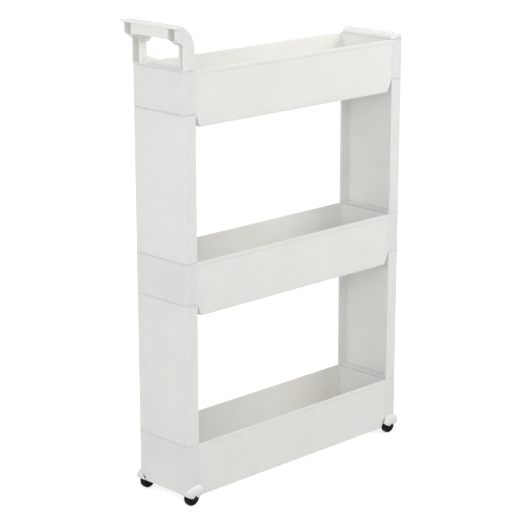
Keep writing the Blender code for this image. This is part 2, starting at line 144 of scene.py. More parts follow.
# Rear cap: depths in front of the body's rear face
CAP_CREST = 0.0120
CAP_RIM_CREST = 0.0060
CAP_SWEEP = 0.0220
CAP_BACK = 0.0050
CAP_FULLNESS = 0.45     # below 1 the inner wall stays steep for longer before it rounds over
CAP_STEP = 0.0006       # from a side rim in to the inner wall

# Casters
FOOT_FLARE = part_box("caster_housing_front_right")[1].x - HALF_WIDTH
FOOT_REACH = BODY_LOW.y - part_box("caster_housing_front_right")[0].y
FOOT_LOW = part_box("caster_housing_front_right")[0].z
FOOT_WALL = 0.0016
FOOT_INNER = 0.0400
FOOT_CORNER_LOW = 0.0185
FOOT_CORNER_HIGH = 0.0300
FOOT_SIDE = 0.0110      # depth at which the hood's upper edge has risen to the end block
FOOT_BULGE = 0.55       # share of the hood's height, from the top, at which it stands out furthest
FOOT_TUCK_SIDE = 0.35   # share of the flare that is taken back below that, to the side
FOOT_TUCK_END = 0.10    # and to the front or rear
WELL_SHOULDER = 0.0195
WELL_CORNER = 0.002
FOOT_EDGE = 0.0008
LIP_CURVE = 0.0240
HUB_RADIUS = 0.0050
BORE_RADIUS = 0.0034
SEAT_LIFT = 0.0010
NECK = 0.9              # width of an axle seat's neck, as a share of the bore
ROOF_CLEARANCE = 0.0015
WHEEL_HALF = 0.00375
WHEEL_SHOULDER = 0.0016
WHEEL_DISH = 0.0012
TREAD_START = 0.0034    # from the tyre's radius in to the shoulder's inner edge
DISH_START = 0.0040
HUB_EASE = 0.0004
GROOVE = 0.0004
GROOVE_HALF = 0.0009
GROOVE_FLOOR_HALF = 0.0005
RIBS = 5
RIB_HALF = 0.0005
RIB_SETBACK = 0.0002    # of a rib from the tyre's sides
RIB_LAP = 0.0006        # how far a rib runs into the hub
RIB_END = 0.0036        # where it ends, in from the tyre's radius
AXLE_DOME = 0.0007

# Plastic: scales of its noises, heights of its bumps and how light spreads inside it
CLOUD_SCALE = 22.0
GLOSS_SCALE = 90.0
GRAIN_SCALE = 1900.0
SINK_SCALE = 38.0
GRAIN_HEIGHT = 0.00003
SINK_HEIGHT = 0.0002
SPREAD_COLOUR = (1.0, 0.96, 0.86)
LIGHT_DEPTH = 0.0020

# Studio: softboxes as name, place, side and power, turned towards the cart
SOFTBOXES = (
    ("key_softbox", (1.4, -2.1, 1.1), 1.0, 14.5),
    ("side_softbox", (1.1, 0.9, 1.4), 0.8, 9.2),
    ("front_softbox", (-0.2, -1.4, 1.7), 0.8, 5.0),
    ("overhead_softbox", (0.0, 0.0, 2.2), 0.8, 6.0),
)
SKY_STRENGTH = 0.50
FLOOR_SIZE = 12.0
FLOOR_GLOW = 0.62       # keeps the pale floor near white

# Camera: angles in degrees, a long lens in millimetres, and where it aims from the cart's centre
AZIMUTH = 45.63
ELEVATION = 15.51
LENS = 125.0
SENSOR = 36.0
DISTANCE = 2.794
AIM = (-0.0034, -0.0151, -0.0294)


# Mesh tools

def add(name, bm):
    """A new object from a bmesh, in the scene."""
    bmesh.ops.recalc_face_normals(bm, faces=bm.faces)
    mesh = bpy.data.meshes.new(name)
    bm.to_mesh(mesh)
    bm.free()
    obj = bpy.data.objects.new(name, mesh)
    bpy.context.scene.collection.objects.link(obj)
    return obj


def from_end(end, depth):
    """The Y of a point at this depth behind the outer face of the front (-1) or rear (1) end."""
    return BODY_LOW.y + depth if end < 0 else BODY_HIGH.y - depth


def rounded(corners):
    """A closed outline from (a, b, radius) corners: a corner with a radius becomes an arc."""
    outline = []
    for i, (a, b, radius) in enumerate(corners):
        corner = Vector((a, b))
        if radius == 0.0:
            outline.append(corner)
            continue
        back = (Vector(corners[i - 1][:2]) - corner).normalized()
        ahead = (Vector(corners[(i + 1) % len(corners)][:2]) - corner).normalized()
        half = back.angle(ahead) / 2
        turn = math.pi - 2 * half
        centre = corner + (back + ahead).normalized() * radius / math.sin(half)
        start = corner + back * radius / math.tan(half) - centre
        stop = corner + ahead * radius / math.tan(half) - centre
        steps = max(2, math.ceil(turn / ARC_STEP))
        for step in range(steps + 1):
            t = step / steps
            arm = start * math.sin((1 - t) * turn) + stop * math.sin(t * turn)
            outline.append(centre + arm / math.sin(turn))
    return outline


def loft(name, rings):
    """A closed body through rings of points with equal counts, capped at the first and the last."""
    bm = bmesh.new()
    made = [[bm.verts.new(point) for point in ring] for ring in rings]
    for lower, upper in zip(made, made[1:]):
        for i in range(len(lower)):
            bm.faces.new((lower[i - 1], lower[i], upper[i], upper[i - 1]))
    bm.faces.new(made[0])
    bm.faces.new(made[-1])
    return add(name, bm)


def along_axis(along, a, b, c):
    """The point at (a, b) in the plane across an axis and at c on it."""
    return {"X": (c, a, b), "Y": (a, c, b), "Z": (a, b, c)}[along]


def prism(name, outline, low, high, along):
    """An outline in (y, z), (x, z) or (x, y), drawn out along X, Y or Z."""
    return loft(name, [[along_axis(along, a, b, c) for a, b in outline] for c in (low, high)])


def block(name, xs, ys, zs):
    """A box between two values on each axis."""
    outline = [(xs[0], ys[0]), (xs[1], ys[0]), (xs[1], ys[1]), (xs[0], ys[1])]
    return prism(name, outline, zs[0], zs[1], "Z")


def bake(obj):
    """Applies an object's modifiers, and tidies what the Booleans leave."""
    graph = bpy.context.evaluated_depsgraph_get()
    mesh = bpy.data.meshes.new_from_object(obj.evaluated_get(graph))
    obj.modifiers.clear()
    bm = bmesh.new()
    bm.from_mesh(mesh)
    bmesh.ops.remove_doubles(bm, verts=bm.verts, dist=MERGE)
    bmesh.ops.dissolve_limit(bm, angle_limit=math.radians(0.3), verts=bm.verts, edges=bm.edges)
    bm.to_mesh(mesh)
    bm.free()
    obj.data = mesh
    return obj


def combine(target, tools, operation):
    """Applies the tools to the target one after another, and removes them."""
    for tool in tools:
        modifier = target.modifiers.new(tool.name, "BOOLEAN")
        modifier.operation = operation
        modifier.solver = "EXACT"
        modifier.object = tool
    bake(target)
    for tool in tools:
        bpy.data.objects.remove(tool, do_unlink=True)
    return target


def join(target, *tools):
    """Adds the tools to the target."""
    return combine(target, tools, "UNION")


def cut(target, *tools):
    """Takes the tools out of the target."""
    return combine(target, tools, "DIFFERENCE")


def keep(target, *tools):
    """Keeps what the target shares with the tools."""
    return combine(target, tools, "INTERSECT")


def round_edges(obj, radius, chosen, segments=4):
    """Rounds the edges whose two end points pass a test."""
    bm = bmesh.new()
    bm.from_mesh(obj.data)
    edges = [edge for edge in bm.edges if chosen(*(vert.co for vert in edge.verts))]
    bmesh.ops.bevel(bm, geom=edges, offset=radius, segments=segments, profile=0.5, affect="EDGES")
    bm.to_mesh(obj.data)
    bm.free()
    return obj


def mirrored_ends(points):
    """A Y, Z outline from (depth, z) points at the front, repeated in reverse at the rear."""
    front = [(from_end(-1, depth), z) for depth, z in points]
    rear = [(from_end(1, depth), z) for depth, z in reversed(points)]
    return front + rear


def body_plan(name, low, high, inset=0.0):
    """The cart's plan with its upright corners rounded."""
    x = HALF_WIDTH - inset
    front = BODY_LOW.y + inset
    rear = BODY_HIGH.y - inset
    corners = [(-x, front), (x, front), (x, rear), (-x, rear)]
    return prism(name, rounded([(a, b, CORNER_RADIUS) for a, b in corners]), low - PAST, high + PAST, "Z")


# Finishing

def finish(obj, node, body, material, edge=EDGE, segments=2):
    """Softens a moulding's edges, gives it its plastic, and puts it in its CAD node's place."""
    bevel = obj.modifiers.new("moulded_edges", "BEVEL")
    bevel.width = edge
    bevel.segments = segments
    bevel.limit_method = "ANGLE"
    bevel.angle_limit = BEVEL_ANGLE
    bevel.use_clamp_overlap = True
    obj.data.materials.clear()
    obj.data.materials.append(material)
    obj.data.shade_smooth()
    normals = obj.modifiers.new("flat_faces", "WEIGHTED_NORMAL")
    normals.keep_sharp = True
    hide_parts(node)
    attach(obj, body)
    return obj


# Materials

def plastic(name, colour, roughness, grain=0.5, variation=0.02, specular=0.5, depth=0.0):
    """Moulded plastic: faint clouding, uneven gloss, a fine grain, and light that sinks in a little."""
    material = bpy.data.materials.new(name)
    material.use_nodes = True
    tree = material.node_tree
    shader = tree.nodes["Principled BSDF"]
    shader.inputs["Metallic"].default_value = 0.0
    shader.inputs["Specular IOR Level"].default_value = specular
    shader.inputs["IOR"].default_value = 1.49
    if depth > 0.0:
        shader.inputs["Subsurface Weight"].default_value = 1.0
        shader.inputs["Subsurface Radius"].default_value = SPREAD_COLOUR
        shader.inputs["Subsurface Scale"].default_value = depth
    place = tree.nodes.new("ShaderNodeTexCoord")

    def noise(scale, detail, rough):
        """A noise texture fixed to the piece."""
        node = tree.nodes.new("ShaderNodeTexNoise")
        node.inputs["Scale"].default_value = scale
        node.inputs["Detail"].default_value = detail
        node.inputs["Roughness"].default_value = rough
        tree.links.new(place.outputs["Object"], node.inputs["Vector"])
        return node

    def spread(source, low, high, from_low=0.3, from_high=0.7):
        """A value's usual range, stretched to low and high."""
        node = tree.nodes.new("ShaderNodeMapRange")
        node.inputs["From Min"].default_value = from_low
        node.inputs["From Max"].default_value = from_high
        node.inputs["To Min"].default_value = low
        node.inputs["To Max"].default_value = high
        tree.links.new(source, node.inputs["Value"])
        return node.outputs["Result"]

    clouds = noise(CLOUD_SCALE, 4.0, 0.55)
    ramp = tree.nodes.new("ShaderNodeValToRGB")
    ramp.color_ramp.elements[0].position = 0.30
    ramp.color_ramp.elements[1].position = 0.72
    ramp.color_ramp.elements[0].color = (*[c * (1 - variation) for c in colour], 1.0)
    ramp.color_ramp.elements[1].color = (*[min(1.0, c * (1 + variation)) for c in colour], 1.0)
    tree.links.new(clouds.outputs["Fac"], ramp.inputs["Fac"])
    tree.links.new(ramp.outputs["Color"], shader.inputs["Base Color"])

    gloss = noise(GLOSS_SCALE, 5.0, 0.6)
    uneven = spread(gloss.outputs["Fac"], roughness - 0.05, roughness + 0.07)
    tree.links.new(uneven, shader.inputs["Roughness"])

    fine = noise(GRAIN_SCALE, 2.0, 0.5)
    sinks = noise(SINK_SCALE, 1.0, 0.4)
    grain_bump = tree.nodes.new("ShaderNodeBump")
    grain_bump.inputs["Strength"].default_value = grain
    grain_bump.inputs["Distance"].default_value = GRAIN_HEIGHT
    sink_bump = tree.nodes.new("ShaderNodeBump")
    sink_bump.inputs["Strength"].default_value = 0.5
    sink_bump.inputs["Distance"].default_value = SINK_HEIGHT
    tree.links.new(sinks.outputs["Fac"], sink_bump.inputs["Height"])
    tree.links.new(fine.outputs["Fac"], grain_bump.inputs["Height"])
    tree.links.new(sink_bump.outputs["Normal"], grain_bump.inputs["Normal"])
    tree.links.new(grain_bump.outputs["Normal"], shader.inputs["Normal"])
    return material


WARM_WHITE = plastic("warm_white_plastic", (0.900, 0.894, 0.868), 0.34, depth=LIGHT_DEPTH)
COOL_WHITE = plastic("neutral_white_plastic", (0.895, 0.894, 0.878), 0.38, depth=LIGHT_DEPTH)
BLACK = plastic("black_plastic", (0.003, 0.003, 0.0034), 0.42, variation=0.15, specular=0.12)


# Trays

def tray(level):
    """A basin with a rounded rim between two hollow end blocks."""
    node = "tray_" + level
    name = node + "_moulding"
    rim = RIMS[level]
    low = rim - TRAY_HEIGHT
    block_low = rim - BLOCK_HEIGHT
    end_face = [(0.0, rim), (0.0, block_low)]
    if level == "bottom":
        skirt_low = low + SKIRT_LIFT
        end_face = [(0.0, rim), (0.0, skirt_low), (SKIRT_WALL, skirt_low), (SKIRT_WALL, block_low)]
    shell = mirrored_ends(end_face + [(CHAMFER_START, block_low), (CHAMFER_END, low)])
    body = prism(name, shell, -HALF_WIDTH, HALF_WIDTH, "X")
    if level == "bottom":
        join(body, *[corner_web(name + "_corner_web", side, end) for side in (-1, 1) for end in (-1, 1)])
    keep(body, body_plan(name + "_plan", low, rim))

    cutters = [recess(name + "_recess", side, rim, low) for side in (-1, 1)]
    cutters.append(basin(name + "_basin", rim, HALF_WIDTH - SIDE_RECESS - WALL))
    pocket_x = (WALL - HALF_WIDTH, HALF_WIDTH - WALL)
    for end in (-1, 1):
        ys = sorted((from_end(end, WALL), from_end(end, END_DEPTH - WALL)))
        cutters.append(block(name + "_socket", pocket_x, ys, (rim - WEB_TOP, rim + PAST)))
        cutters.append(block(name + "_underside", pocket_x, ys, (low - PAST, rim - WEB_TOP - WEB)))
        if level == "bottom":
            cutters += [corner_notch(name + "_notch", side, end) for side in (-1, 1)]
    cut(body, *cutters)
    return finish(body, node, "cart", WARM_WHITE, RIM_EDGE, 3)


def recess(name, side, rim, low):
    """What sets a long wall back from the rim and from the end blocks, with sloping edges."""
    rings = []
    for x, grow in ((HALF_WIDTH - SIDE_RECESS, -RECESS_SLOPE), (HALF_WIDTH, 0.0), (HALF_WIDTH + PAST, 0.0)):
        high = rim - LIP_HEIGHT + grow
        outline = mirrored_ends([(END_DEPTH - grow, low - PAST), (END_DEPTH - grow, high)])
        corners = [(y, z, RECESS_RADIUS if z > low else 0.0) for y, z in outline]
        rings.append([(side * x, y, z) for y, z in rounded(corners)])
    return loft(name, rings)


def basin(name, rim, inner_x):
    """The space inside a tray, with rounded upright corners and a rounded floor."""
    low = rim - TRAY_HEIGHT
    block_low = rim - BLOCK_HEIGHT
    slope = WALL / 2
    hollow = mirrored_ends([
        (END_DEPTH, rim + PAST),
        (END_DEPTH, block_low + 2 * slope),
        (CHAMFER_START + WALL, block_low - slope),
        (CHAMFER_END + slope, low + WALL),
    ])
    space = prism(name, hollow, -inner_x, inner_x, "X")
    floor = low + WALL + 0.0001
    top = rim + PAST - 0.0001

    def upright(p, q):
        """A corner edge that leaves the floor, steep or upright, and isn't part of the open top."""
        rises = abs(p.x - q.x) < TINY and abs(p.z - q.z) > TINY
        return rises and max(p.z, q.z) > floor and min(p.z, q.z) <= top

    def on_floor(p, q):
        """An edge in the basin's floor."""
        return p.z < floor and q.z < floor

    round_edges(space, BASIN_CORNER, upright, 6)
    round_edges(space, BASIN_FLOOR, on_floor, 4)
    return space


def corner_edge(x):
    """Height of the sloping line, on an end face, where the bottom tray's end wall meets a caster housing."""
    rise = (FOOT_CORNER_HIGH - FOOT_CORNER_LOW) / (HALF_WIDTH - FOOT_INNER)
    return FOOT_CORNER_LOW + rise * (x - FOOT_INNER)


def corner_web(name, side, end):
    """The side wall's small triangle between the end face and the end block's underside."""
    high = RIMS["bottom"] - BLOCK_HEIGHT
    outline = [(from_end(end, depth), z) for depth, z in (
        (0.0, FOOT_CORNER_HIGH), (0.0, high + WALL), (FOOT_SIDE, high + WALL), (FOOT_SIDE, high),
    )]
    return prism(name, outline, *sorted((side * (HALF_WIDTH - WALL), side * HALF_WIDTH)), "X")


def corner_notch(name, side, end):
    """The corner that a caster housing fills, cut out of the end wall."""
    inner = FOOT_INNER - GAP
    outer = HALF_WIDTH + PAST
    low = UNDERSIDE - PAST
    outline = [
        (inner, low), (inner, corner_edge(inner)), (HALF_WIDTH, FOOT_CORNER_HIGH),
        (outer, FOOT_CORNER_HIGH), (outer, low),
    ]
    ys = sorted((from_end(end, -PAST), from_end(end, SKIRT_WALL + GAP)))
    return prism(name, [(side * x, z) for x, z in outline], *ys, "Y")


# Panels

def channel(end, inset, wall, radius):
    """A channel's plan, open towards the cart's middle, with rounded outer corners."""
    outer_x = HALF_WIDTH - inset
    inner_x = outer_x - wall
    outer_y = from_end(end, inset)
    web_y = from_end(end, inset + wall)
    open_y = from_end(end, END_DEPTH - inset)
    inner_radius = max(0.0005, radius - wall / 2)
    right = [
        (outer_x, outer_y, radius), (outer_x, open_y, 0.0), (inner_x, open_y, 0.0),
        (inner_x, web_y, inner_radius),
    ]
    return rounded(right + [(-x, y, r) for x, y, r in reversed(right)])


def panel(where, half):
    """An end panel: a channel with closed ends, and tongues that plug into the trays above and below."""
    node = "panel_" + where + "_" + half
    name = node + "_moulding"
    end = ENDS[where]
    level = 0 if half == "lower" else 1
    low = RIMS[LEVELS[level]] + GAP
    high = RIMS[LEVELS[level + 1]] - BLOCK_HEIGHT - GAP
    box_low, box_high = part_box(node)
    body = prism(name, channel(end, 0.0, PANEL_WALL, CORNER_RADIUS), low, high, "Z")
    tongue = channel(end, TONGUE_INSET, TONGUE_WALL, TONGUE_CORNER)
    inner_x = HALF_WIDTH - PANEL_WALL / 2
    ys = sorted((from_end(end, PANEL_WALL / 2), from_end(end, END_DEPTH - PLATE_SETBACK)))
    join(
        body,
        prism(name + "_low_tongue", tongue, box_low.z, low + TONGUE_ROOT, "Z"),
        prism(name + "_high_tongue", tongue, high - TONGUE_ROOT, box_high.z, "Z"),
        block(name + "_sill", (-inner_x, inner_x), ys, (low + PLATE_LIFT, low + PLATE_LIFT + PLATE)),
        block(name + "_head", (-inner_x, inner_x), ys, (high - PLATE_LIFT - PLATE, high - PLATE_LIFT)),
    )
    return finish(body, node, "cart", COOL_WHITE)


# Handle

def handle_curve(inset):
    """The quarter ellipse from the top of the handle down its back, as (depth, height above the rim)."""
    depth, height = CURVE_CENTRE
    across = BACK_DEPTH - depth - inset
    up = CURVE_TOP - height - inset
    angles = [math.pi / 2 * (1 - step / CURVE_STEPS) for step in range(CURVE_STEPS + 1)]
    return [(depth + across * math.cos(a), height + up * math.sin(a)) for a in angles]


def on_handle(points):
    """A Y, Z outline from (depth, height above the rim) points at the front."""
    return [(from_end(-1, depth), RIMS["top"] + height) for depth, height in points]


def tunnel(name):
    """The space for the hand: rounded at its upper corners, with a scooped floor."""
    open_front = -BAR_REACH - 2 * PAST
    past_back = BACK_DEPTH + PAST
    steps = 16
    rings = []
    for step in range(2 * steps + 1):
        share = math.sin(math.pi / 2 * (step / steps - 1))
        x = HOLE_HALF * share
        into_corner = max(0.0, abs(x) - (HOLE_HALF - HOLE_CORNER))
        drop = HOLE_CORNER - math.sqrt(max(0.0, HOLE_CORNER ** 2 - into_corner ** 2))
        back_floor = WALL + (HOLE_LOW - WALL) * (SCOOP_MIDDLE + (1 - SCOOP_MIDDLE) * share ** 2)
        floor = []
        for t in (0.0, 0.2, 0.4, 0.6, 0.8, 1.0):
            floor.append((BACK_DEPTH * t, WALL + (back_floor - WALL) * t ** SCOOP_POWER))
        points = [(open_front, WALL)] + floor + [
            (past_back, back_floor), (past_back, HOLE_HIGH - drop), (0.0, HOLE_HIGH - drop / 2),
            (-BAR_REACH, HOOK_HIGH), (open_front, HOOK_HIGH),
        ]
        rings.append([(x, y, z) for y, z in on_handle(points)])
    return loft(name, rings)


def tunnel_flare(name, side):
    """What widens the hand's space towards the back."""
    past_back = BACK_DEPTH + PAST
    steps = 8
    rings = []
    for step in range(steps + 1):
        x = HOLE_HALF - GAP + (HOLE_FLARE + GAP) * math.sin(math.pi / 2 * step / steps)
        share = min(FLARE_FULL, max(0.0, x - HOLE_HALF) / HOLE_FLARE)
        start = CHEEK_SETBACK - GAP + (BACK_DEPTH - CHEEK_SETBACK) * share
        into_corner = max(0.0, x - (HOLE_HALF + HOLE_FLARE - FLARE_CORNER))
        drop = FLARE_CORNER - math.sqrt(max(0.0, FLARE_CORNER ** 2 - into_corner ** 2))
        depths = [start + (BACK_DEPTH - start) * t for t in (0.0, 0.25, 0.5, 0.75, 1.0)]
        floor = []
        for depth in depths:
            rise = (HOLE_LOW - WALL) * (depth / BACK_DEPTH) ** SCOOP_POWER
            floor.append((depth, GAP / 2 + WALL + rise))
        high = HOLE_HIGH - HOLE_CORNER / 3 - drop
        points = floor + [(past_back, floor[-1][1]), (past_back, high), (start, high)]
        rings.append([(side * x, y, z) for y, z in on_handle(points)])
    return loft(name, rings)


def side_channel(name, side):
    """The space between a cheek and the side plate, which narrows below the ledge towards the back."""
    open_front = -BAR_REACH - 2 * PAST
    outline = [(open_front, WALL), (BACK_DEPTH - WALL, WALL)] + handle_curve(WALL)[::-1]
    outline += [(open_front, CURVE_TOP - WALL)]
    space = prism(name, on_handle(outline), *sorted((side * CHEEK_HALF, side * (HALF_WIDTH - WALL))), "X")
    inside = CHEEK_HALF - WALL
    cheek = [
        (inside, CHEEK_SETBACK), (CHEEK_HALF, CHEEK_SETBACK), (CHEEK_HALF + HOLE_FLARE, BACK_DEPTH),
        (CHEEK_HALF + HOLE_FLARE, BACK_DEPTH + PAST), (inside, BACK_DEPTH + PAST),
    ]
    plan = [(side * x, from_end(-1, depth)) for x, depth in cheek]
    return cut(space, prism(name + "_cheek", plan, RIMS["top"] - PAST, RIMS["top"] + LEDGE_LOW, "Z"))


def handle():
    """A shell whose sides are channels open to the front, round a tunnel for the hand."""
    name = "handle_moulding"
    rim = RIMS["top"]
    low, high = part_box("handle")
    profile = [(0.0, GAP), (0.0, HOOK_LOW), (-HOOK_REACH, HOOK_HIGH), (-HOOK_REACH, CURVE_TOP - WALL)]
    profile += handle_curve(0.0) + [(BACK_DEPTH, GAP)]
    body = prism(name, on_handle(profile), -HALF_WIDTH, HALF_WIDTH, "X")

    front_y = from_end(-1, -BAR_REACH)
    back_y = from_end(-1, CURVE_CENTRE[0])
    bar_plan = rounded([
        (-BAR_HALF, back_y, 0.0), (-BAR_HALF, front_y, BAR_CORNER),
        (BAR_HALF, front_y, BAR_CORNER), (BAR_HALF, back_y, 0.0),
    ])
    bar = prism(name + "_bar", bar_plan, rim + HOOK_HIGH, rim + CURVE_TOP - WALL / 2, "Z")
    fade = from_end(-1, 0.0)
    full = from_end(-1, -TOP_PLATE_TAPER)
    plate_plan = rounded([
        (-HALF_WIDTH, fade, 0.0), (low.x, full, TOP_PLATE_TURN), (low.x, low.y, TOP_PLATE_CORNER),
        (high.x, low.y, TOP_PLATE_CORNER), (high.x, full, TOP_PLATE_TURN), (HALF_WIDTH, fade, 0.0),
    ])
    plate = prism(name + "_top_plate", plate_plan, high.z - TOP_PLATE, high.z, "Z")
    join(body, bar, plate)
    x = HALF_WIDTH - TONGUE_INSET
    ys = sorted((from_end(-1, TONGUE_INSET), from_end(-1, END_DEPTH - TONGUE_INSET)))
    plug = block(name + "_plug", (-x, x), ys, (low.z, rim + WALL))
    x -= TONGUE_WALL
    hollow_ys = (ys[0] + TONGUE_WALL, ys[1] - TONGUE_WALL)
    cut(plug, block(name + "_hollow", (-x, x), hollow_ys, (low.z - PAST, rim + 0.001)))
    join(body, plug)

    open_front = -BAR_REACH - 2 * PAST
    for side in (-1, 1):
        pocket_xs = sorted((side * BAR_HALF, side * (HALF_WIDTH - WALL)))
        pocket_top = CURVE_TOP - WALL
        pocket = [(open_front, LEDGE_HIGH), (0.0, LEDGE_HIGH), (0.0, pocket_top), (open_front, pocket_top)]
        cut(
            body,
            side_channel(name + "_channel", side),
            prism(name + "_pocket", on_handle(pocket), *pocket_xs, "X"),
        )
        ledge_xs = sorted((side * (CHEEK_HALF - WALL / 2), side * (HALF_WIDTH - WALL / 2)))
        ledge = [
            (-LEDGE_REACH, LEDGE_LOW), (LEDGE_BACK, LEDGE_LOW),
            (LEDGE_BACK, LEDGE_HIGH), (-LEDGE_REACH, LEDGE_HIGH),
        ]
        join(body, prism(name + "_ledge", on_handle(ledge), *ledge_xs, "X"))
        low_edge = WALL + GAP / 2
        high_edge = LEDGE_LOW - GAP / 2
        back_edge = CHEEK_SETBACK + GAP / 2
        edge = [
            (open_front, low_edge), (back_edge, low_edge), (back_edge, high_edge - WALL), (0.0, high_edge),
            (open_front, high_edge),
        ]
        edge_xs = sorted((side * (HOLE_HALF - WALL), side * (CHEEK_HALF + GAP)))
        cut(body, prism(name + "_cheek_edge", on_handle(edge), *edge_xs, "X"))
    cut(body, tunnel(name + "_tunnel"))
    cut(body, tunnel_flare(name + "_left_flare", -1), tunnel_flare(name + "_right_flare", 1))
    bar_inside = WALL - BAR_REACH
    grip_low = HOLE_HIGH - WALL
    grip = [(bar_inside, grip_low), (bar_inside, CURVE_TOP - WALL)]
    grip += [(depth, height) for depth, height in handle_curve(WALL) if height > grip_low]
    grip += [(BACK_DEPTH - WALL, grip_low)]
    grip_x = BAR_HALF - WALL
    cut(body, prism(name + "_grip", on_handle(grip), -grip_x, grip_x, "X"))
    return finish(body, "handle", "cart", WARM_WHITE, HANDLE_EDGE, 3)


# Rear cap

def cap_outline(front):
    """A Y, Z outline of the cap: its front slope, then a quarter ellipse down to the rear face."""
    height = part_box("rear_cap")[1].z - RIMS["top"]
    start = front[-1][0]
    steps = 10
    back = []
    for step in range(1, steps + 1):
        a = math.pi / 2 * (1 - step / steps)
        back.append((start * (1 - math.cos(a)), height - CAP_BACK + CAP_BACK * math.sin(a)))
    return [(from_end(1, depth), RIMS["top"] + up) for depth, up in front + back + [(0.0, GAP)]]


def rear_cap():
    """A lid: its inner wall rounds over to a crest, and its side rims sweep up more gently."""
    low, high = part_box("rear_cap")
    rim = RIMS["top"]
    height = high.z - rim
    steps = 16
    wall = [(END_DEPTH, GAP)]
    sweep = [(CAP_SWEEP, GAP)]
    for step in range(1, steps + 1):
        t = step / steps
        a = math.pi / 2 * t
        wall.append((CAP_CREST + (END_DEPTH - CAP_CREST) * math.cos(a), height * math.sin(a) ** CAP_FULLNESS))
        rise = (1 - math.cos(math.pi * t)) / 2
        sweep.append((CAP_SWEEP + (CAP_RIM_CREST - CAP_SWEEP) * t, GAP + (height - GAP) * rise))
    inner = HALF_WIDTH - WALL
    middle = cap_outline(wall)
    side = cap_outline(sweep)
    sections = [(-HALF_WIDTH, side), (-inner, side), (CAP_STEP - inner, middle)]
    sections += [(-x, outline) for x, outline in reversed(sections)]
    body = loft("rear_cap_moulding", [[(x, y, z) for y, z in outline] for x, outline in sections])
    keep(body, body_plan("rear_cap_plan", low.z, high.z))
    x = HALF_WIDTH - TONGUE_INSET
    ys = sorted((from_end(1, TONGUE_INSET), from_end(1, END_DEPTH - TONGUE_INSET)))
    plug = block("rear_cap_plug", (-x, x), ys, (low.z, rim + 2 * GAP))
    join(body, plug)
    x -= TONGUE_WALL
    hollow_ys = (ys[0] + TONGUE_WALL, ys[1] - TONGUE_WALL)
    cut(body, block("rear_cap_hollow", (-x, x), hollow_ys, (low.z - PAST, rim + 2 * GAP)))
    return finish(body, "rear_cap", "cart", WARM_WHITE, RIM_EDGE, 3)


# Casters

def hood_inner(z):
    """Depth of a housing's inner side, which follows the basin's sloping end."""
    share = (RIMS["bottom"] - BLOCK_HEIGHT - z) / (TRAY_HEIGHT - BLOCK_HEIGHT)
    return CHAMFER_START + (CHAMFER_END - CHAMFER_START) * share - 2 * GAP


def housing_form(name, side, end, top):
    """A caster housing's outer form: its outer and end faces swell out towards the floor."""
    levels = 16
    rings = []
    for level in range(levels + 1):
        t = level / levels
        z = top + (FOOT_LOW - top) * t
        swell = math.sin(math.pi / 2 * min(1.0, t / FOOT_BULGE))
        tuck = max(0.0, (t - FOOT_BULGE) / (1.0 - FOOT_BULGE)) ** 2
        outer_x = HALF_WIDTH + FOOT_FLARE * (swell - FOOT_TUCK_SIDE * tuck)
        face = -FOOT_REACH * (swell - FOOT_TUCK_END * tuck)
        inner = hood_inner(z)
        corner = CORNER_RADIUS + (HOOD_CORNER - CORNER_RADIUS) * swell
        plan = rounded([
            (FOOT_INNER, face, FOOT_EDGE), (outer_x, face, corner),
            (outer_x, inner, 0.0), (FOOT_INNER, inner, 0.0),
        ])
        rings.append([(side * x, from_end(end, depth), z) for x, depth in plan])
    return loft(name, rings)


def keyhole(axle_y, axle_z):
    """The axle's seat in a fork cheek, a slot with a round top and a narrower neck below, in Y and Z."""
    neck = NECK * BORE_RADIUS
    lean = math.asin(NECK)
    steps = 20
    seat = []
    for step in range(steps + 1):
        angle = -math.pi / 2 + lean + (2 * math.pi - 2 * lean) * step / steps
        lift = SEAT_LIFT if math.sin(angle) > 0.0 else 0.0
        seat.append((axle_y + BORE_RADIUS * math.cos(angle), axle_z + lift + BORE_RADIUS * math.sin(angle)))
    low = FOOT_LOW - PAST
    return seat + [(axle_y - neck, low), (axle_y + neck, low)]


def lip_cutter(name, xs, end, axle_depth):
    """What trims a housing's lower edge to an arc that is lowest under the axle."""
    span = CHAMFER_END - axle_depth
    steps = 12
    arc = []
    for step in range(-steps, steps + 1):
        across = span * step / steps
        arc.append((axle_depth + across, FOOT_LOW + LIP_CURVE - math.sqrt(LIP_CURVE ** 2 - across ** 2)))
    low = FOOT_LOW - PAST
    points = [(arc[0][0], low)] + arc + [(arc[-1][0], low)]
    return prism(name, [(from_end(end, depth), z) for depth, z in points], *xs, "X")


def above_hood(name, side, end, face):
    """What stands over a caster housing's visible upper edge, on the end face or on the side."""
    high = RIMS["bottom"]
    if face == "end":
        inner = FOOT_INNER - PAST
        outer = HALF_WIDTH + FOOT_FLARE + PAST
        outline = [(inner, corner_edge(inner)), (outer, corner_edge(outer)), (outer, high), (inner, high)]
        ys = sorted((from_end(end, -PAST), from_end(end, TONGUE_INSET)))
        return prism(name, [(side * x, z - GAP) for x, z in outline], *ys, "Y")
    block_low = RIMS["bottom"] - BLOCK_HEIGHT
    rise = (block_low - FOOT_CORNER_HIGH) / FOOT_SIDE
    outline = [
        (from_end(end, -PAST), FOOT_CORNER_HIGH - PAST * rise), (from_end(end, FOOT_SIDE), block_low),
        (from_end(end, FOOT_SIDE), high), (from_end(end, -PAST), high),
    ]
    xs = sorted((side * (HALF_WIDTH - TONGUE_INSET), side * (HALF_WIDTH + FOOT_FLARE + PAST)))
    return prism(name, [(y, z - GAP) for y, z in outline], *xs, "X")


